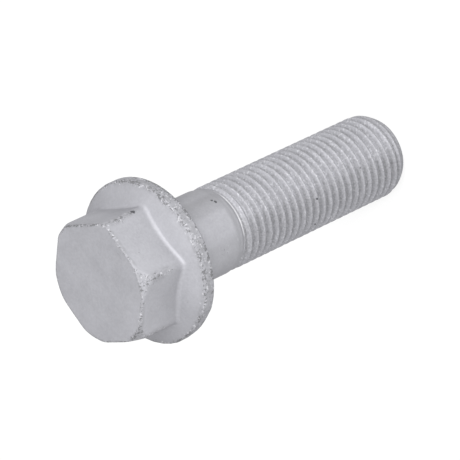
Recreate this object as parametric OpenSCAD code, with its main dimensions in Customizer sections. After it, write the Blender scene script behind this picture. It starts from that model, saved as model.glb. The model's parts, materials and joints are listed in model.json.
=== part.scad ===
// Hexagon flange bolt, forged in one piece and thread-rolled.
// It stands on the flat of its threaded end, with its axis on Z and its head up.

/* [Thread] */
// Nominal diameter of the thread, over its crests
thread_d = 14; // [10:0.5:17]
// Length of the threaded stretch, with the chamfer at its end
thread_len = 36.4; // [20:0.2:44]
// Length of the chamfer at the threaded end
end_chamfer_len = 2.3; // [0.8:0.1:4]
// How far the end chamfer goes in from the thread's crests
end_chamfer_depth = 1.25; // [0.4:0.05:2]

/* [Shank] */
// Length under the head, from the bearing face to the threaded end
shank_len = 50; // [42:0.5:100]
// How much slimmer the plain shank is than the thread, on the diameter
shank_under = 0.1; // [0:0.05:1]
// Depth of the neck where the shank runs out into the thread
neck_depth = 0.3; // [0.1:0.05:0.8]
// Length of the neck, with its two sloping sides
neck_len = 2.2; // [2.1:0.1:4]
// Length of the neck's slope up to the thread
neck_slope_len = 0.4; // [0.1:0.05:0.55]
// Length of the neck's taper from the plain shank
neck_taper_len = 1.4; // [0.4:0.1:1.5]
// Fillet between the shank and the bearing face
underhead_r = 0.6; // [0.2:0.1:1.2]

/* [Flange] */
// Diameter of the flange
flange_d = 26.5; // [24:0.1:36]
// Thickness of the flange at its rim, before its edges are rounded
rim_h = 2.2; // [1.4:0.1:4]
// Rounding of the rim's upper edge
rim_top_r = 0.4; // [0.2:0.1:0.8]
// Rounding of the rim's edge at the bearing face
rim_foot_r = 0.6; // [0.2:0.1:1]
// Slope of the flange's top, in degrees
flange_slope = 27; // [12:1:32]

/* [Hexagon] */
// Width across the flats
flats_w = 18.9; // [16:0.1:20.5]
// Height of the whole head, from the bearing face
head_h = 11.75; // [9:0.05:20]
// How much the rounded corners take off the width across corners
corner_trim = 0.45; // [0.1:0.05:1]
// How far the chamfer's circle on the top face lies outside the flats
face_margin = 0.4; // [0.1:0.01:0.6]
// Angle of the corner chamfer below the top face, in degrees
chamfer_angle = 68; // [20:1:72]
// Rounding of the edges between the top face and the flats
top_edge_r = 0.3; // [0.1:0.05:0.6]
// Fillet between the flats and the flange's top
foot_fillet_r = 0.8; // [0.4:0.1:1.2]

/* [Hidden] */
$fn = 96;

sides = 6;
// How far cutters run past what they cut, and fillets into what they join
cut_past = 1;
fillet_bite = 0.03;

thread_r = thread_d / 2;
end_flat_r = thread_r - end_chamfer_depth;
shank_r = thread_r - shank_under / 2;
neck_r = shank_r - neck_depth;
neck_top_z = thread_len + neck_len;

flange_r = flange_d / 2;
flange_rise = tan(flange_slope);
flange_top_r = flats_w / 4;
flange_top_z = flange_z(flange_top_r);
rim_top_z = rim_h + rim_top_r * flange_rise - rim_top_r / cos(flange_slope);

flats_r = flats_w / 2;
sharp_corner_r = flats_r / cos(180 / sides);
corners_r = sharp_corner_r - corner_trim / 2;
face_r = flats_r + face_margin;

// The foot of a flat follows the flange's cone, on an arc that drops towards the corners
foot_drop = (sharp_corner_r - flats_r) * flange_rise;
foot_half_w = flats_r * tan(180 / sides);
foot_arc_r = (pow(foot_half_w, 2) + pow(foot_drop, 2)) / (2 * foot_drop);
foot_arc_angle = 2 * atan((foot_half_w + foot_fillet_r) / (foot_arc_r - foot_drop));

// Height of the flange's top above the bearing face, at the radius r
function flange_z(r) = rim_h + (flange_r - r) * flange_rise;

// Half section of the threaded stretch, the neck and the plain shank
module shank_section() {
    polygon([
        [0, 0],
        [end_flat_r, 0],
        [thread_r, end_chamfer_len],
        [thread_r, thread_len],
        [neck_r, thread_len + neck_slope_len],
        [neck_r, neck_top_z - neck_taper_len],
        [shank_r, neck_top_z],
        [shank_r, shank_len],
        [0, shank_len]
    ]);
    translate([shank_r, shank_len - underhead_r])
        difference() {
            square(underhead_r);
            translate([underhead_r, 0])
                circle(underhead_r);
        }
}

// Half section of the flange, measured up from its bearing face
module flange_section() {
    polygon([
        [0, 0],
        [flange_r - rim_foot_r, 0],
        [flange_r, rim_foot_r],
        [flange_r, rim_top_z],
        [flange_r - rim_top_r * (1 - sin(flange_slope)), rim_top_z + rim_top_r * cos(flange_slope)],
        [flange_top_r, flange_top_z],
        [0, flange_top_z]
    ]);
    translate([flange_r - rim_foot_r, rim_foot_r])
        circle(rim_foot_r);
    translate([flange_r - rim_top_r, rim_top_z])
        circle(rim_top_r);
}

// Section of the fillet between a wall that stands at wall_r and the flange's top
module foot_section(wall_r) {
    centre_r = wall_r + foot_fillet_r - fillet_bite;
    centre_z = flange_z(centre_r) + (foot_fillet_r - fillet_bite) / cos(flange_slope);
    toe_r = centre_r - foot_fillet_r * sin(flange_slope);
    toe_z = centre_z - foot_fillet_r * cos(flange_slope);
    difference() {
        polygon([
            [wall_r - cut_past, centre_z],
            [centre_r, centre_z],
            [toe_r, toe_z],
            [toe_r, toe_z - cut_past],
            [wall_r - cut_past, toe_z - cut_past]
        ]);
        translate([centre_r, centre_z])
            circle(foot_fillet_r);
    }
}

// Fillet along the foot of the flat that faces +X, which follows an arc on the flange
module flat_foot() {
    axis_z = flange_z(flats_r) - foot_arc_r;
    intersection() {
        linear_extrude(height = head_h)
            polygon([
                [0, 0],
                [flange_r, -flange_r * tan(180 / sides)],
                [flange_r, flange_r * tan(180 / sides)]
            ]);
        translate([0, 0, axis_z])
            rotate([0, 90, 0])
                rotate([0, 0, 180 - foot_arc_angle / 2])
                    rotate_extrude(angle = foot_arc_angle)
                        rotate(-90)
                            mirror([1, 0])
                                translate([0, -axis_z])
                                    foot_section(flats_r);
    }
}

// Half section of the turned blank that rounds and chamfers the hexagon's corners
module corner_section() {
    foot_section(corners_r);
    polygon([
        [0, 0],
        [corners_r, 0],
        [corners_r, head_h - (corners_r - face_r) * tan(chamfer_angle)],
        [face_r, head_h],
        [0, head_h]
    ]);
}

// What the rounding takes off one edge of the top face
module top_edge_waste() {
    rotate([90, 0, 0])
        linear_extrude(height = 2 * sharp_corner_r, center = true)
            translate([flats_r - top_edge_r, head_h - top_edge_r])
                difference() {
                    square(top_edge_r + cut_past);
                    circle(top_edge_r);
                }
}

// Hexagon from the bearing face up, with its corners turned and its top edges rounded
module hexagon() {
    difference() {
        intersection() {
            union() {
                rotate([0, 0, 180 / sides])
                    cylinder(h = head_h, r = sharp_corner_r, $fn = sides);
                for (side = [0 : sides - 1])
                    rotate([0, 0, side * 360 / sides])
                        flat_foot();
            }
            rotate_extrude()
                corner_section();
        }
        for (side = [0 : sides - 1])
            rotate([0, 0, side * 360 / sides])
                top_edge_waste();
    }
}

// The whole bolt, forged and rolled from one blank
module flange_bolt() {
    color("silver")
        union() {
            rotate_extrude()
                shank_section();
            translate([0, 0, shank_len]) {
                rotate_extrude()
                    flange_section();
                hexagon();
            }
        }
}

flange_bolt();
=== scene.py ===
"""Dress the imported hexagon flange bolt: forged head, rolled thread, matt zinc coat, studio and camera."""
import functools
import json
import math
from typing import NamedTuple

import bmesh
import bpy
from mathutils import Matrix, Vector, noise


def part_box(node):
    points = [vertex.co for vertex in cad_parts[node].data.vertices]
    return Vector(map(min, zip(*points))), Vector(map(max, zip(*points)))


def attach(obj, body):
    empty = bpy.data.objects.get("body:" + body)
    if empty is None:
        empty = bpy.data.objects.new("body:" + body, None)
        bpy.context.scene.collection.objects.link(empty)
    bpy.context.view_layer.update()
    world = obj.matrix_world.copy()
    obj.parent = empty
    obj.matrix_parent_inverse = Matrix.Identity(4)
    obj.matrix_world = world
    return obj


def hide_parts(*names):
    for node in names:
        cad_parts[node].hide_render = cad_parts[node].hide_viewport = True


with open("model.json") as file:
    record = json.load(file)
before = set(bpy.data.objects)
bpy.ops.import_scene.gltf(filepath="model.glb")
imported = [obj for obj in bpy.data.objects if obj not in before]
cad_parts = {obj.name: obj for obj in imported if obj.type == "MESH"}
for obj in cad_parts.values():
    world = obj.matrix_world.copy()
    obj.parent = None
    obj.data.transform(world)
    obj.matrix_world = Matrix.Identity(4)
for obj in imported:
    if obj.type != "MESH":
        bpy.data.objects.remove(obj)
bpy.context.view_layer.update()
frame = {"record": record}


def soft_min(first, second, blend):
    """Smaller of two numbers, with the change between them rounded over blend."""
    share = min(max(0.5 + 0.5 * (second - first) / blend, 0.0), 1.0)
    return second + (first - second) * share - blend * share * (1 - share)


def eased(share):
    """Share from 0 to 1, held to that range and eased at both ends."""
    share = min(max(share, 0.0), 1.0)
    return share * share * (3 - 2 * share)


def faded(height, start, end):
    """Share of the way from a start height to an end height, from 0 to 1."""
    return min(max((height - start) / (end - start), 0.0), 1.0)


class Side(NamedTuple):
    """A side of the bolt: its angle in degrees, and the cosines off it where it begins and is full."""

    middle: float
    begins: float
    full: float

    def share(self, turn):
        """How much of the side there is at an angle about the axis, from 0 to 1."""
        facing = math.cos(turn - math.radians(self.middle))
        return eased((facing - self.begins) / (self.full - self.begins))


class Band(NamedTuple):
    """A band of heights that fades in from its low end and out to its high end."""

    low: float
    low_full: float
    high_full: float
    high: float

    def share(self, height):
        """How much of the band there is at a height, from 0 to 1."""
        return faded(height, self.low, self.low_full) - faded(height, self.high_full, self.high)


# Sizes of the bolt in millimetres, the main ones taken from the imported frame
MM = 0.001
mounts = {mount["name"]: mount for mount in frame["record"]["mounts"]}
bolt_low, bolt_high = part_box("flange_bolt")
TOP_Z = bolt_high[2] / MM
FLANGE_R = (bolt_high[0] - bolt_low[0]) / 2 / MM
BEARING_Z = mounts["bearing_face"]["pos_m"][2] / MM
THREAD_R = mounts["thread"]["dims"]["r_mm"]

# Hexagon, with its face, its edges and the fillet at its foot
SIDES = 6
FLATS_R = 9.45
CORNER_R = 10.69
CORNER_SOFT = 0.22
# Radius at which the chamfer leaves the face, at each corner from the one at 30 degrees on
CHAMFER_FACE_R = (10.05, 9.56, 9.7, 9.7, 9.55, 10.5)
# Where between two corners the one radius passes into the other, as shares of the way
CHAMFER_CHANGE = (0.3, 0.7)
CHAMFER_LEN = 2.1
CHAMFER_BOW = 1.1
CHAMFER_SOFT = 0.26
TOP_EDGE_R = 0.3
SPREAD_EDGE = Side(-120, 0.85, 0.95)
SPREAD_EDGE_WIDTH = 0.45
FOOT_R = 0.9
FOOT_WALL_LEN = 0.1
FACE_SHARES = (0, 0.3, 0.6, 0.8, 0.9, 0.95, 0.98)
WALL_STEPS = (0.06, 0.15, 0.25, 0.35, 0.45, 0.55, 0.65, 0.75, 0.85, 1.0, 1.15, 1.3, 1.5, 1.8, 2.4, 3.4)

# Flange, with the stretch of its rim where the forging is not full
FLANGE_SLOPE = math.radians(27)
RIM_H = 2.2
RIM_TOP_R = 0.4
RIM_FOOT_R = 0.6
FLAT_RIM = Side(-149, 0.93, 0.995)
FLAT_RIM_DEPTH = 0.22
# Steps out over the flange's top, as shares of the way and their wear
CONE_STEPS = ((0.04, 0), (0.3, 0), (0.55, 0), (0.72, 0.05), (0.85, 0.15), (0.95, 0.5))
BEARING_SHARES = (0.94, 0.8, 0.65, 0.58)

# Plain shank, and the neck with its land, its step and its floor
SHANK_R = THREAD_R - 0.05
UNDERHEAD_R = 0.6
NECK_R = SHANK_R - 0.37
NECK_TOP_Z = 38.9
NECK_LAND_Z = 37.75
NECK_LAND_R = SHANK_R - 0.16
NECK_STEP_Z = 37.5
NECK_FLOOR_Z = 37.13
NECK_JOIN_Z = 37.1
NECK_STEP_SHARES = (0, 0.12, 0.88, 1)
SHANK_HEIGHTS = (BEARING_Z - 0.8, 47, 44, 41, NECK_TOP_Z + 0.4)

# Thread, with its run-out at the neck and the chamfer at its end
PITCH = 1.5
CREST_R = 6.93
ROOT_R = 6.02
# Half of a thread groove, from a crest's middle to the root's, as shares of the pitch and of the depth
GROOVE_SHAPE = ((0, 0), (0.047, 0.01), (0.093, 0.06), (0.147, 0.17), (0.213, 0.36), (0.373, 0.83),
                (0.427, 0.94), (0.48, 1))
THREAD_PHASE = math.radians(-46)
RUNOUT_CREST_Z = 36.82
RUNOUT_ROOT_Z = 34.6
RUNOUT_END_Z = NECK_JOIN_Z - 0.05
RUNOUT_TRIM_Z = NECK_JOIN_Z - 0.1
END_FLAT_R = 5.74
END_CHAMFER_LEN = 2.55
END_CHAMFER_BOW = 1.6
END_CHAMFER_SOFT = 0.06
END_RIM_WIDTH = 0.15

# Unevenness of the forging and of the rolling
DENT_DEPTH = 0.06
DENT_SIZE = 0.75
CREST_UNEVEN = 0.03
CREST_UNEVEN_SIZE = 0.6

# Fineness of the mesh, and the distances in millimetres within which its points are merged or level
TURN_STEPS = 360
THREAD_STEPS = 144
ARC_STEPS = 6
NECK_ARC_STEPS = 12
HEAD_MERGE = 1e-5
THREAD_MERGE = 1e-3
TRIMMED_MERGE = 2e-3
END_LEVEL = 1e-4
END_EDGE_LEVEL = 1e-3

# How far the coat is rubbed, from 0 to about 1 where dark steel shows; rubbing also brings out painted
# glints
FACE_RIM_RUB = 0.5
FACE_EDGE_RUB = 0.75
SPREAD_EDGE_LESS_RUB = 0.1
RUBBED_MORE = 0.3
RUBBED_CORNER = Side(-148, 0.75, 1)
RUBBED_EDGE = Side(6, 0.82, 0.92)
CORNER_RUB = 0.7
CORNER_LOW_RUB = 0.25
CORNER_LOW_FROM = 1.3
CORNER_LOW_OVER = 0.6
CORNER_RUB_POWER = 8
CHAMFER_RUB = 0.7
CHAMFER_RUB_DEPTH = 0.1
RIM_EDGE_RUB = 1.0
RIM_SIDE_RUB = 0.5
BEARING_RUB = 0.25
SHANK_RUB = 0.1
CREST_RUB = 0.25
CREST_RUB_DEPTH = 0.2

# How much the coat is darkened, from 0 to about 1: painted shade in the foot's crease, the neck and the
# thread's grooves and on the shaded sides of the rim, shank and thread, a painted shadow of the flange on
# the shank, and a plain darkening towards the threaded end
FOOT_SHADE = 0.45
FOOT_SHADE_STEPS = 3
SHADED_RIM = Side(-70, 0.3, 0.8)
SHADED_RIM_DARKNESS = 0.95
LIT_SHANK = Side(-68, 0.82, 0.96)
SHANK_SHADE = 0.6
SHADOWED_SHANK = Side(-41, 0.95, 0.99)
SHANK_SHADOW = 0.9
NECK_SHADE = 0.8
NECK_SHADE_SHARE = 0.6
# Painted shade on the thread's side at -94 degrees, less in the grooves on its lit side, and more in the
# grooves on the side at -32 degrees
SHADED_THREAD_TURN = math.radians(-94)
SHADED_THREAD_POWER = 4
HOLLOW_FROM = 0.35
HOLLOW_OVER = 0.3
LIT_GROOVES = Side(-68, 0.94, 0.99)
LIT_GROOVES_SHARE = 0.8
SHADED_GROOVES = Side(-32, 0.94, 0.99)
SHADED_GROOVES_DARKNESS = 0.8
# Darker towards the threaded end, kept in the same darkening as the painted shade
END_DARKENING = 1.1
END_DARKENING_Z = (1.6, 3.4)

# Painted highlight lines at the thread's run-out, which are also made less rough
SLOPE_SHINE = Side(-66, 0.75, 0.95)
SLOPE_SHINE_Z = Band(36.74, 36.8, 37.04, 37.1)
CREST_SHINE = Side(-84, 0.85, 0.97)
CREST_SHINE_Z = Band(36.1, 36.25, 36.55, 36.7)

# Depth in the thread that the coat reads at a crest, so that it tells the thread from the rest
CREST_GROOVE = 0.1


def flange_z(radius):
    """Height of the flange's sloping top at a radius."""
    return BEARING_Z + RIM_H + (FLANGE_R - radius) * math.tan(FLANGE_SLOPE)


def arc(centre, radius, start, end):
    """Points on an arc in the half section, from one angle in degrees to another."""
    points = []
    for step in range(ARC_STEPS + 1):
        angle = math.radians(start + (end - start) * step / ARC_STEPS)
        points.append((centre[0] + radius * math.cos(angle), centre[1] + radius * math.sin(angle)))
    return points


def wall_radius(turn):
    """Radius of the hexagon's wall at an angle about the axis, with its corners rounded."""
    side = math.tau / SIDES
    off_flat = (turn + side / 2) % side - side / 2
    return soft_min(FLATS_R / math.cos(off_flat), CORNER_R, CORNER_SOFT)


def edge_rounding(turn):
    """Width and wear of the face's rounded edge, which the forging has spread along one flat; the wear also
    brings out painted glints.
    """
    spread = SPREAD_EDGE.share(turn)
    width = TOP_EDGE_R + (SPREAD_EDGE_WIDTH - TOP_EDGE_R) * spread
    wear = FACE_EDGE_RUB - SPREAD_EDGE_LESS_RUB * spread
    wear += RUBBED_MORE * (RUBBED_CORNER.share(turn) + RUBBED_EDGE.share(turn))
    return width, wear


def face_radius(turn):
    """Radius at which the corner chamfer leaves the face, uneven from corner to corner."""
    place = (turn * SIDES / math.tau - 0.5) % SIDES
    corner = int(place)
    first = CHAMFER_FACE_R[corner]
    second = CHAMFER_FACE_R[(corner + 1) % SIDES]
    start, end = CHAMFER_CHANGE
    return first + (second - first) * eased((place - corner - start) / (end - start))


def chamfered(radius, height, face_r):
    """Radius that the bowed corner chamfer leaves at a height."""
    left = 1 - min((TOP_Z - height) / CHAMFER_LEN, 1.0)
    limit = face_r + (CORNER_R + CHAMFER_SOFT - face_r) * (1 - left ** CHAMFER_BOW)
    return soft_min(radius, limit, CHAMFER_SOFT)


def hexagon_section(wall, turn):
    """Half section of the hexagon from the middle of its face down its wall, with its wear, and no painted
    shade.
    """
    width, edge_wear = edge_rounding(turn)
    face_r = face_radius(turn)
    face = min(wall - width, face_r - CHAMFER_SOFT)
    section = [(share * face, TOP_Z, 0.0, 0.0) for share in FACE_SHARES]
    section.append((face, TOP_Z, FACE_RIM_RUB, 0.0))
    for reach, rise in arc((0, 0), 1, 90, 0)[1:]:
        height = TOP_Z - TOP_EDGE_R * (1 - rise)
        section.append((chamfered(wall - width * (1 - reach), height, face_r), height, edge_wear, 0.0))
    corner = min(max((wall - FLATS_R) / (CORNER_R - FLATS_R), 0.0), 1.0) ** CORNER_RUB_POWER
    for below in WALL_STEPS:
        height = TOP_Z - TOP_EDGE_R - below
        radius = chamfered(wall, height, face_r)
        low = eased((below - CORNER_LOW_FROM) / CORNER_LOW_OVER)
        corner_wear = corner * (CORNER_RUB + CORNER_LOW_RUB * low)
        chamfer_wear = CHAMFER_RUB * min((wall - radius) / CHAMFER_RUB_DEPTH, 1.0)
        section.append((radius, height, max(corner_wear, chamfer_wear, FACE_RIM_RUB - below), 0.0))
    return section


def flange_section(wall, turn):
    """Half section from the foot of the hexagon's wall, over the flange's top and round its rim."""
    slope = math.degrees(FLANGE_SLOPE)
    centre_r = wall + FOOT_R
    centre = (centre_r, flange_z(centre_r) + FOOT_R / math.cos(FLANGE_SLOPE))
    # Painted shade in the crease at the wall's foot, fading out over the fillet's first steps
    section = [(wall, centre[1] + FOOT_WALL_LEN, 0.0, FOOT_SHADE)]
    for step, (radius, height) in enumerate(arc(centre, FOOT_R, 180, 270 - slope)):
        section.append((radius, height, 0.0, FOOT_SHADE * max(1 - step / FOOT_SHADE_STEPS, 0)))
    toe_r = section[-1][0]
    rim_top_z = RIM_H + RIM_TOP_R * math.tan(FLANGE_SLOPE) - RIM_TOP_R / math.cos(FLANGE_SLOPE)
    rim_top = (FLANGE_R - RIM_TOP_R, BEARING_Z + rim_top_z)
    edge_r = rim_top[0] + RIM_TOP_R * math.sin(FLANGE_SLOPE)
    for share, wear in CONE_STEPS:
        radius = toe_r + (edge_r - toe_r) * share
        section.append((radius, flange_z(radius), wear, 0.0))
    for radius, height in arc(rim_top, RIM_TOP_R, 90 - slope, 0):
        section.append((radius, height, RIM_EDGE_RUB, 0.0))
    rim_foot = (FLANGE_R - RIM_FOOT_R, BEARING_Z + RIM_FOOT_R)
    side_z = (rim_top[1] + rim_foot[1]) / 2
    # Painted shade on the rim's side, strongest on the side at -70 degrees
    section.append((FLANGE_R, side_z, RIM_SIDE_RUB, SHADED_RIM_DARKNESS * SHADED_RIM.share(turn)))
    for radius, height in arc(rim_foot, RIM_FOOT_R, 0, -90):
        section.append((radius, height, RIM_EDGE_RUB, 0.0))
    return section


def shank_section(turn):
    """Half section from the bearing face down the plain shank and into the neck."""
    section = [(share * FLANGE_R, BEARING_Z, BEARING_RUB, 0.0) for share in BEARING_SHARES]
    under = (SHANK_R + UNDERHEAD_R, BEARING_Z - UNDERHEAD_R)
    # Painted shade on the shank all round but for a lit band at -68 degrees, and a painted shadow of the
    # flange on the side at -41 degrees
    dimming = SHANK_SHADE * (1 - LIT_SHANK.share(turn)) + SHANK_SHADOW * SHADOWED_SHANK.share(turn)
    section += [(radius, height, 0.0, dimming) for radius, height in arc(under, UNDERHEAD_R, 90, 180)]
    section += [(SHANK_R, height, SHANK_RUB, dimming) for height in SHANK_HEIGHTS]
    for step in range(NECK_ARC_STEPS + 1):
        share = step / NECK_ARC_STEPS
        radius = SHANK_R - eased(share) * (SHANK_R - NECK_LAND_R)
        height = NECK_TOP_Z - share * (NECK_TOP_Z - NECK_LAND_Z)
        # Painted shade that deepens into the neck and fills its step and floor
        grime = max(dimming, NECK_SHADE * min(share / NECK_SHADE_SHARE, 1))
        section.append((radius, height, SHANK_RUB, grime))
    for share in NECK_STEP_SHARES:
        radius = NECK_LAND_R - share * (NECK_LAND_R - NECK_R)
        height = NECK_STEP_Z - share * (NECK_STEP_Z - NECK_FLOOR_Z)
        section.append((radius, height, SHANK_RUB, NECK_SHADE))
    return section


def rim_flat(radius, turn):
    """How far the rim lies inside its circle at a radius and an angle, where the forging is not full."""
    return FLAT_RIM_DEPTH * FLAT_RIM.share(turn) * eased((radius - CORNER_R) / (FLANGE_R - CORNER_R))


@functools.lru_cache(maxsize=None)
def meridian(step):
    """Half section of the head and shank at one step of the turn, as radius, height, wear and painted
    shade.
    """
    turn = step / TURN_STEPS * math.tau
    wall = wall_radius(turn)
    return hexagon_section(wall, turn) + flange_section(wall, turn) + shank_section(turn)


def forged_head():
    """Head and shank, turned as a round blank whose meridians are then pressed to the hexagon."""
    blank = bmesh.new()
    ring = blank.verts.layers.int.new("ring")
    wear = blank.verts.layers.float.new("wear")
    blank.verts.layers.float.new("groove")
    grime = blank.verts.layers.float.new("grime")
    outline = [blank.verts.new((ring_point[0], 0, ring_point[1])) for ring_point in meridian(0)]
    for index, vert in enumerate(outline):
        vert[ring] = index
    edges = [blank.edges.new(pair) for pair in zip(outline, outline[1:])]
    bmesh.ops.spin(blank, geom=outline + edges, cent=(0, 0, 0), axis=(0, 0, 1), angle=math.tau,
                   steps=TURN_STEPS, use_merge=True)
    bmesh.ops.remove_doubles(blank, verts=blank.verts, dist=HEAD_MERGE)
    for vert in blank.verts:
        turn = math.atan2(vert.co.y, vert.co.x)
        section = meridian(round(turn / math.tau * TURN_STEPS) % TURN_STEPS)
        radius, height, rub, head_shade = section[vert[ring]]
        radius -= rim_flat(radius, turn)
        place = Vector((radius * math.cos(turn), radius * math.sin(turn), height))
        dent = DENT_DEPTH * max(rub, 0.0) ** 2 * max(noise.noise(place / DENT_SIZE), 0.0)
        vert.co = (place.x * (1 - dent / FLANGE_R), place.y * (1 - dent / FLANGE_R), height)
        vert[wear] = rub
        vert[grime] = head_shade
    blank.verts.layers.int.remove(ring)
    return blank


def end_limit(height):
    """Radius that the rounded chamfer at the threaded end leaves at a height."""
    if height >= END_CHAMFER_LEN:
        return CREST_R
    left = 1 - max(height, 0) / END_CHAMFER_LEN
    return END_FLAT_R + (CREST_R - END_FLAT_R) * (1 - left ** END_CHAMFER_BOW)


def root_radius(height):
    """Radius of the thread's root at a height, which rises to the neck at the run-out."""
    return ROOT_R + (NECK_R - ROOT_R) * faded(height, RUNOUT_ROOT_Z, RUNOUT_END_Z)


def crest_radius(height):
    """Radius of the thread's crest at a height, which sinks to the neck at the run-out."""
    return CREST_R + (NECK_R - CREST_R) * faded(height, RUNOUT_CREST_Z, RUNOUT_END_Z)


def thread_wear_and_highlight(radius, height, turn):
    """Wear at a point of the thread, below 0 on the run-out's lines, where a highlight is painted and the
    coat made less rough.
    """
    crested = max(0.0, 1 - (CREST_R - radius) / CREST_RUB_DEPTH)
    slope_shine = SLOPE_SHINE_Z.share(height) * SLOPE_SHINE.share(turn)
    crest_shine = crested * CREST_SHINE_Z.share(height) * CREST_SHINE.share(turn)
    return CREST_RUB * crested - max(slope_shine, crest_shine)


def thread_darkening(sunk, height, turn):
    """Darkening at a point of the thread: painted shade by its depth in the groove and by its side, and
    darker towards the threaded end.
    """
    hollow = eased((sunk - HOLLOW_FROM) / HOLLOW_OVER)
    lit_side = LIT_GROOVES_SHARE * hollow * LIT_GROOVES.share(turn)
    dimmed = SHADED_GROOVES_DARKNESS * hollow * SHADED_GROOVES.share(turn)
    side = max(math.cos(turn - SHADED_THREAD_TURN), 0.0) ** SHADED_THREAD_POWER * (1 - lit_side)
    return max(side, dimmed, END_DARKENING * (1 - faded(height, *END_DARKENING_Z)))


def trimmed_radius(place, radius, height):
    """Radius of a point of the thread after its run-out, its uneven rolling and the end's chamfer."""
    if height < END_LEVEL:
        return END_FLAT_R
    uneven = CREST_UNEVEN * noise.noise(place / CREST_UNEVEN_SIZE)
    rolled = min(max(radius, root_radius(height)), crest_radius(height)) + uneven
    trimmed = soft_min(rolled, end_limit(height), END_CHAMFER_SOFT)
    return min(trimmed, NECK_R) if height > RUNOUT_TRIM_Z else trimmed


def swept_thread():
    """Open sweep of the thread along its helix, trimmed level at the end and at the neck."""
    thread = bmesh.new()
    depth = CREST_R - ROOT_R
    groove = [(along * PITCH, share * depth) for along, share in GROOVE_SHAPE]
    groove += [(PITCH - along, down) for along, down in reversed(groove)]
    outline = [thread.verts.new((CREST_R - down, 0, along - 2 * PITCH)) for along, down in groove]
    edges = [thread.edges.new(pair) for pair in zip(outline, outline[1:])]
    bmesh.ops.rotate(thread, verts=outline, matrix=Matrix.Rotation(THREAD_PHASE, 3, "Z"))
    bmesh.ops.spin(thread, geom=outline + edges, cent=(0, 0, 0), axis=(0, 0, 1), angle=math.tau,
                   steps=THREAD_STEPS, dvec=(0, 0, PITCH / THREAD_STEPS))
    first_turn = thread.verts[:] + thread.edges[:] + thread.faces[:]
    for turn in range(1, math.ceil(NECK_JOIN_Z / PITCH) + 3):
        copied = bmesh.ops.duplicate(thread, geom=first_turn)["geom"]
        moved = [item for item in copied if isinstance(item, bmesh.types.BMVert)]
        bmesh.ops.translate(thread, verts=moved, vec=(0, 0, turn * PITCH))
    bmesh.ops.remove_doubles(thread, verts=thread.verts, dist=THREAD_MERGE)
    for height, side in ((0, -1), (NECK_JOIN_Z, 1)):
        geometry = thread.verts[:] + thread.edges[:] + thread.faces[:]
        bmesh.ops.bisect_plane(thread, geom=geometry, plane_co=(0, 0, height), plane_no=(0, 0, side),
                               clear_outer=True)
    return thread


def rolled_thread():
    """Right-hand thread, run out at the neck and chamfered and closed at its end."""
    thread = swept_thread()
    wear = thread.verts.layers.float.new("wear")
    groove = thread.verts.layers.float.new("groove")
    grime = thread.verts.layers.float.new("grime")
    for vert in thread.verts:
        radius = vert.co.xy.length
        height = vert.co.z
        turn = math.atan2(vert.co.y, vert.co.x)
        sunk = max(end_limit(height) - max(radius, root_radius(height)), 0.0) / (CREST_R - ROOT_R)
        vert[wear] = thread_wear_and_highlight(radius, height, turn)
        vert[groove] = CREST_GROOVE + (1 - CREST_GROOVE) * sunk
        vert[grime] = thread_darkening(sunk, height, turn)
        vert.co.xy *= trimmed_radius(vert.co, radius, height) / radius
    bmesh.ops.remove_doubles(thread, verts=thread.verts, dist=TRIMMED_MERGE)
    rims = [edge for edge in thread.edges if edge.is_boundary]
    end_edges = [edge for edge in rims if edge.verts[0].co.z < END_EDGE_LEVEL]
    end_face = bmesh.ops.edgeloop_fill(thread, edges=end_edges)["faces"]
    bmesh.ops.inset_region(thread, faces=end_face, thickness=END_RIM_WIDTH)
    return thread


def joined_bolt(name):
    """One closed mesh of the head, the shank and the thread, in metres."""
    bolt = forged_head()
    thread = rolled_thread()
    loose = bpy.data.meshes.new("rolled_thread")
    thread.to_mesh(loose)
    thread.free()
    bolt.from_mesh(loose)
    bpy.data.meshes.remove(loose)
    open_rims = [edge for edge in bolt.edges if edge.is_boundary]
    bmesh.ops.bridge_loops(bolt, edges=open_rims)
    bmesh.ops.recalc_face_normals(bolt, faces=bolt.faces)
    bmesh.ops.scale(bolt, verts=bolt.verts, vec=(MM, MM, MM))
    for face in bolt.faces:
        face.smooth = True
    mesh = bpy.data.meshes.new(name)
    bolt.to_mesh(mesh)
    bolt.free()
    piece = bpy.data.objects.new(name, mesh)
    bpy.context.scene.collection.objects.link(piece)
    return piece


class Wire:
    """A shader socket that takes part in plain expressions."""

    def __init__(self, finish, socket):
        self.finish = finish
        self.socket = socket

    def sum(self, operation, first, second):
        """Math node of an operation on two values."""
        settings = {"operation": operation}
        return self.finish.add("ShaderNodeMath", settings, {"Value": first, "Value_001": second})

    def __add__(self, other):
        return self.sum("ADD", self, other)

    def __radd__(self, other):
        return self.sum("ADD", other, self)

    def __sub__(self, other):
        return self.sum("SUBTRACT", self, other)

    def __rsub__(self, other):
        return self.sum("SUBTRACT", other, self)

    def __mul__(self, other):
        return self.sum("MULTIPLY", self, other)

    def __rmul__(self, other):
        return self.sum("MULTIPLY", other, self)


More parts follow.
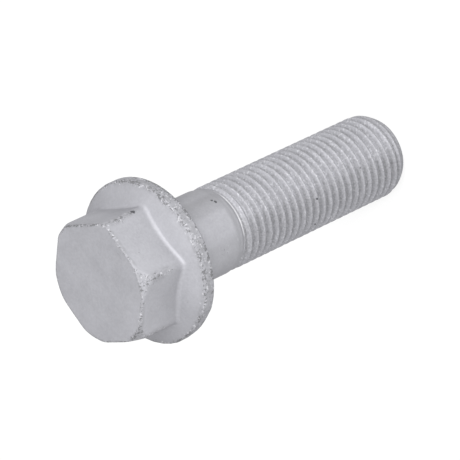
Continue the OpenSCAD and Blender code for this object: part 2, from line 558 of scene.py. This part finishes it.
class Finish:
    """A material or world whose nodes all come from one method."""

    def __init__(self, owner):
        self.owner = owner
        owner.use_nodes = True
        self.tree = owner.node_tree
        self.tree.nodes.clear()

    def add(self, kind, settings=None, sockets=None, output=0):
        """Add a node with its settings, then its socket values and links, and give one of its outputs."""
        node = self.tree.nodes.new(kind)
        for name, value in (settings or {}).items():
            if name == "stops":
                self.set_stops(node.color_ramp, value)
            else:
                setattr(node, name, value)
        inputs = {socket.identifier: socket for socket in node.inputs}
        for name, value in (sockets or {}).items():
            if isinstance(value, Wire):
                self.tree.links.new(value.socket, inputs[name])
            else:
                inputs[name].default_value = value
        return Wire(self, node.outputs[output]) if node.outputs else None

    @staticmethod
    def set_stops(ramp, stops):
        """Give a colour ramp its stops, as positions and grey levels."""
        while len(ramp.elements) < len(stops):
            ramp.elements.new(1.0)
        for element, (position, level) in zip(ramp.elements, stops):
            element.position = position
            element.color = (level, level, level, 1)

    def attribute(self, name):
        """Level of one of the mesh's attributes."""
        return self.add("ShaderNodeAttribute", {"attribute_name": name}, output=2)

    def noise(self, place, grain):
        """Level of a noise texture of a grain at a place."""
        return self.add("ShaderNodeTexNoise", {}, {
            "Vector": place,
            "Scale": grain.scale,
            "Detail": grain.detail,
            "Roughness": grain.roughness,
        })

    def ramp(self, level, *stops):
        """Level carried through a ramp of positions and grey levels."""
        return self.add("ShaderNodeValToRGB", {"stops": stops}, {"Fac": level})

    def tinted(self, share, first, second):
        """Colour mixed from a first to a second by a share."""
        settings = {"data_type": "RGBA"}
        sockets = {"Factor_Float": share, "A_Color": first, "B_Color": second}
        return self.add("ShaderNodeMix", settings, sockets, output=2)


class Grain(NamedTuple):
    """Fineness of a noise texture, per metre, with its detail and roughness."""

    scale: float
    detail: float
    roughness: float


ZINC_LIGHT = (0.42, 0.42, 0.448, 1)
ZINC_DULL = (0.335, 0.335, 0.358, 1)
# Dark grey to which painted shade and real dust and scuffs take the coat
DARK_SHADE_AND_DUST = (0.15, 0.15, 0.15, 1)
RUBBED_STEEL = (0.16, 0.16, 0.165, 1)
# Light grey of bright rubbed metal and of painted glints
BRIGHT_RUB_AND_GLINT = (0.66, 0.66, 0.69, 1)
# Grey of the painted highlights on the run-out's lines
PAINTED_HIGHLIGHT_GREY = (0.75, 0.75, 0.77, 1)
CHIPPED_SCALE = (0.04, 0.04, 0.045, 1)

CLOUD_GRAIN = Grain(220, 4, 0.55)
FLAKE_GRAIN = Grain(2600, 2, 0.6)
SPECK_GRAIN = Grain(3200, 2, 0.6)
PATCH_GRAIN = Grain(420, 2, 0.5)
SCUFF_GRAIN = Grain(1000, 3, 0.6)
GLINT_GRAIN = Grain(1900, 2, 0.5)
CREST_GLINT_GRAIN = Grain(2300, 2, 0.6)

# Shares in which specks and patches make up the rubbed places, and what the wear adds to them and to the
# painted glints
SPECK_SHARE = 0.7
PATCH_SHARE = 0.3
WEAR_TO_RUB = 0.19
WEAR_TO_GLINT = 0.09

# Shares of painted shade in the thread's grooves, of dust on handled places, of the mesh's darkening, which
# is mostly painted shade, and of the thread's flecks
DEEP_SHADE = 0.13
DEEP_SCUFF_SHADE = 0.22
HANDLED_DUST = 0.24
DARKENING_SHARE = 0.22
FLECK_DUST = 0.3
THREAD_LESS_DUST = 0.13

# Shares in the colour of painted glints, which on worn edges also stand for bright rubbed metal, of painted
# highlights, and of rubbed and chipped places
GLINT_SHARE = 0.6
CREST_GLINT_SHARE = 0.45
DARKENING_LESS_GLINT = 0.7
SHINE_LEAST = 0.6
SHINE_FLECKS = 0.4
RUBBED_SHARE = 0.85
CHIPPED_SHARE = 0.8

# Relief and shine of the coat, the distance in metres
BUMP_STRENGTH = 0.25
BUMP_DISTANCE = 0.00004
HANDLED_RELIEF = 0.5
COAT_METALLIC = 0.35
COAT_SPECULAR = 0.15
COAT_SPECULAR_TINT = (0.4, 0.4, 0.42, 1)
COAT_ROUGHNESS = 0.52
FLAKE_ROUGHNESS = 0.1
WEAR_ROUGHNESS = 0.2

# Chips in the coat, as their middles and sizes in millimetres
CHIPS = {
    "shank_upper": ((5.42, -4.35, 39.48), 0.2),
    "shank_lower": ((5.09, -4.73, 39.18), 0.25),
    "corner_foot": ((9.25, -5.35, 55.7), 0.42),
    "thread_middle": ((-0.9, -6.87, 21.0), 0.26),
    "thread_end": ((0.64, -6.9, 10.6), 0.26),
    "thread_side": ((-5.15, -4.64, 20.9), 0.26),
}
CHIP_RAGGED = 1.5


def chipped_places(coat, place, specks):
    """Share of each place that the chips take up, with ragged edges."""
    chips = []
    for middle, size in CHIPS.values():
        centre = [value * MM for value in middle]
        distance = coat.add("ShaderNodeVectorMath", {"operation": "DISTANCE"},
                            {"Vector": place, "Vector_001": centre}, output=1)
        reach = distance * (1 / (size * MM)) + (specks - 0.5) * CHIP_RAGGED
        chips.append(coat.ramp(reach, (0.75, 1), (1.0, 0)))
    return functools.reduce(lambda first, second: first.sum("MAXIMUM", first, second), chips)


def zinc_flake_coat():
    """Matt silver-grey flake coat, clouded and grained, rubbed through to dark specks along its edges, with
    painted shade, painted glints and painted highlights.
    """
    coat = Finish(bpy.data.materials.new("zinc_flake_coat"))
    place = coat.add("ShaderNodeTexCoord", output=3)
    wear = coat.attribute("wear")
    groove = coat.attribute("groove")
    grime = coat.attribute("grime")

    clouds = coat.ramp(coat.noise(place, CLOUD_GRAIN), (0.3, 0), (0.7, 1))
    grain = coat.ramp(coat.noise(place, FLAKE_GRAIN), (0.3, 0), (0.7, 1))
    specks = coat.noise(place, SPECK_GRAIN)
    flecks = coat.ramp(specks, (0.36, 0), (0.64, 1))
    patches = coat.noise(place, PATCH_GRAIN)
    scuffs = coat.ramp(coat.noise(place, SCUFF_GRAIN), (0.36, 0), (0.66, 1))
    glints = coat.ramp(coat.noise(place, GLINT_GRAIN) + wear * WEAR_TO_GLINT, (0.66, 0), (0.74, 1))
    crest_glints = coat.ramp(coat.noise(place, CREST_GLINT_GRAIN), (0.56, 0), (0.66, 1))

    handled = coat.ramp(wear, (0.05, 0), (0.3, 1))
    painted_highlight = coat.ramp(wear * -1.0, (0.0, 0), (1.0, 1))
    speckled = specks * SPECK_SHARE + patches * PATCH_SHARE + wear * WEAR_TO_RUB
    rubbed = coat.ramp(speckled, (0.67, 0), (0.74, 1))
    rolled = coat.ramp(groove, (0.0, 0), (CREST_GROOVE, 1))
    # Painted shade that deepens into the thread's grooves
    groove_shade = coat.ramp(groove, (0.42, 0), (0.62, 1), (0.7, 0.85), (0.82, 0.35), (1.0, 0.2))
    chipped = chipped_places(coat, place, specks)

    flakes = coat.tinted(clouds * 0.5 + grain * 0.5, ZINC_DULL, ZINC_LIGHT)
    # Painted shade in the grooves and from the mesh's darkening, with dust on handled places and the
    # thread's flecks
    dimming = (groove_shade * (DEEP_SHADE + scuffs * DEEP_SCUFF_SHADE) + handled * (1 - rolled) * scuffs * HANDLED_DUST
            + grime * DARKENING_SHARE + rolled * (flecks * FLECK_DUST - THREAD_LESS_DUST))
    dimmed = coat.tinted(dimming, flakes, DARK_SHADE_AND_DUST)
    # Painted glints on worn places and on the thread's crests
    bright = (glints * handled * GLINT_SHARE
              + crest_glints * rolled * (1 - grime * DARKENING_LESS_GLINT) * CREST_GLINT_SHARE)
    glinted = coat.tinted(bright, dimmed, BRIGHT_RUB_AND_GLINT)
    # Painted highlight on the run-out's lines
    shining = coat.tinted(painted_highlight * (SHINE_LEAST + flecks * SHINE_FLECKS), glinted, PAINTED_HIGHLIGHT_GREY)
    worn = coat.tinted(rubbed * RUBBED_SHARE, shining, RUBBED_STEEL)
    colour = coat.tinted(chipped * CHIPPED_SHARE, worn, CHIPPED_SCALE)

    relief = grain + clouds + scuffs * (handled * HANDLED_RELIEF + rolled)
    bump = coat.add("ShaderNodeBump", {}, {
        "Strength": BUMP_STRENGTH,
        "Distance": BUMP_DISTANCE,
        "Height": relief,
    })
    surface = coat.add("ShaderNodeBsdfPrincipled", {}, {
        "Base Color": colour,
        "Metallic": COAT_METALLIC,
        "Specular IOR Level": COAT_SPECULAR,
        "Specular Tint": COAT_SPECULAR_TINT,
        "Roughness": COAT_ROUGHNESS + grain * FLAKE_ROUGHNESS + wear * WEAR_ROUGHNESS,
        "Normal": bump,
    })
    coat.add("ShaderNodeOutputMaterial", {}, {"Surface": surface})
    return coat.owner


# Studio in metres, with the floor kept just clear of the end that stands on it
FLOOR_GAP = 0.00001
FLOOR_HALF = 4
FLOOR_GLOW = 0.7
FLOOR_LIT = (0.55, 0.55, 0.55, 1)
FLOOR_SEEN = (0.98, 0.98, 0.98, 1)
WHITE = (1, 1, 1, 1)
SKY_STRENGTH = 0.77


def studio_floor():
    """Pale floor that looks white where no shadow lies on it."""
    paper = Finish(bpy.data.materials.new("studio_paper"))
    camera_ray = paper.add("ShaderNodeLightPath", output=0)
    glossy_ray = paper.add("ShaderNodeLightPath", output=3)
    through_ray = paper.add("ShaderNodeLightPath", output=6)
    seen = paper.add("ShaderNodeMath", {"operation": "ADD", "use_clamp": True},
                     {"Value": camera_ray + glossy_ray, "Value_001": through_ray})
    shade = paper.tinted(seen, FLOOR_LIT, FLOOR_SEEN)
    lit = paper.add("ShaderNodeBsdfDiffuse", {}, {"Color": shade})
    white = paper.add("ShaderNodeEmission", {}, {"Color": WHITE, "Strength": 1.0})
    surface = paper.add("ShaderNodeMixShader", {}, {
        "Fac": seen * FLOOR_GLOW,
        "Shader": lit,
        "Shader_001": white,
    })
    paper.add("ShaderNodeOutputMaterial", {}, {"Surface": surface})

    sheet = bmesh.new()
    bmesh.ops.create_grid(sheet, x_segments=1, y_segments=1, size=FLOOR_HALF)
    mesh = bpy.data.meshes.new("studio_floor")
    sheet.to_mesh(mesh)
    sheet.free()
    floor = bpy.data.objects.new("studio_floor", mesh)
    floor.location.z = -FLOOR_GAP
    floor.data.materials.append(paper.owner)
    bpy.context.scene.collection.objects.link(floor)


def studio_world():
    """Even white surroundings."""
    world = bpy.data.worlds.new("studio_world")
    sky = Finish(world)
    glow = sky.add("ShaderNodeBackground", {}, {"Color": WHITE, "Strength": SKY_STRENGTH})
    sky.add("ShaderNodeOutputWorld", {}, {"Surface": glow})
    bpy.context.scene.world = world


# The photograph's view, with the head's face placed right, down and forward of the camera
PHOTO_WIDTH = 460
FOCAL_LENGTH = 3956.3
SENSOR_WIDTH = 36
CLIP_START = 0.01
FACE_FROM_CAMERA = (-19.833, 8.167, 595.912)
AXIS_TURN = math.radians(25.44)
AXIS_TILT = math.radians(38.9)
HEXAGON_ROLL = math.radians(44.63)

toward_turn = HEXAGON_ROLL - math.radians(120)
across = Vector((-math.sin(toward_turn), math.cos(toward_turn), 0))
toward = Vector((math.cos(toward_turn), math.sin(toward_turn), 0))
along = Vector((0, 0, -1))
view_right = (-math.sin(AXIS_TURN) * across + math.sin(AXIS_TILT) * math.cos(AXIS_TURN) * toward
              + math.cos(AXIS_TILT) * math.cos(AXIS_TURN) * along)
view_down = (-math.cos(AXIS_TURN) * across - math.sin(AXIS_TILT) * math.sin(AXIS_TURN) * toward
             - math.cos(AXIS_TILT) * math.sin(AXIS_TURN) * along)
view_forward = -math.cos(AXIS_TILT) * toward + math.sin(AXIS_TILT) * along
face_centre = Vector((0, 0, TOP_Z))
eye = (face_centre - FACE_FROM_CAMERA[0] * view_right - FACE_FROM_CAMERA[1] * view_down
       - FACE_FROM_CAMERA[2] * view_forward) * MM


class Lamp(NamedTuple):
    """A soft lamp: how far right and down of the camera's line it lies, its distance, size and power."""

    right: float
    down: float
    distance: float
    size: float
    power: float


LAMPS = {
    "key_lamp": Lamp(right=0.08, down=-0.03, distance=0.8, size=0.4, power=5.2),
    "side_lamp": Lamp(right=-0.44, down=-0.44, distance=0.8, size=0.5, power=2.1),
}


def aimed(location, back, up):
    """Matrix of a camera or lamp at a location, with its back and top turned to given directions."""
    right = up.cross(back).normalized()
    upright = back.cross(right).normalized()
    columns = Matrix((right, upright, back.normalized())).transposed()
    return Matrix.Translation(location) @ columns.to_4x4()


def main_camera():
    """Camera at the photograph's place, rolled so that the standing bolt lies across the picture."""
    lens = bpy.data.cameras.new("main_camera")
    lens.sensor_width = SENSOR_WIDTH
    lens.lens = FOCAL_LENGTH / PHOTO_WIDTH * SENSOR_WIDTH
    lens.clip_start = CLIP_START
    camera = bpy.data.objects.new("main_camera", lens)
    camera.matrix_world = aimed(eye, -view_forward, -view_down)
    bpy.context.scene.collection.objects.link(camera)
    bpy.context.scene.camera = camera


def softbox(name, lamp):
    """Round soft lamp that looks at the middle of the bolt."""
    light = bpy.data.lights.new(name, "AREA")
    light.shape = "DISK"
    light.size = lamp.size
    light.energy = lamp.power
    box = bpy.data.objects.new(name, light)
    back = (-view_forward + lamp.down * view_down + lamp.right * view_right).normalized()
    middle = face_centre * MM * 0.5
    box.matrix_world = aimed(middle + back * lamp.distance, back, Vector((0, 0, 1)))
    bpy.context.scene.collection.objects.link(box)


bolt = joined_bolt("zinc_bolt")
bolt.data.materials.append(zinc_flake_coat())
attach(bolt, "root")
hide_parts("flange_bolt")

studio_floor()
studio_world()
main_camera()
for lamp_name, lamp_values in LAMPS.items():
    softbox(lamp_name, lamp_values)
bpy.context.scene.view_settings.view_transform = "Standard"
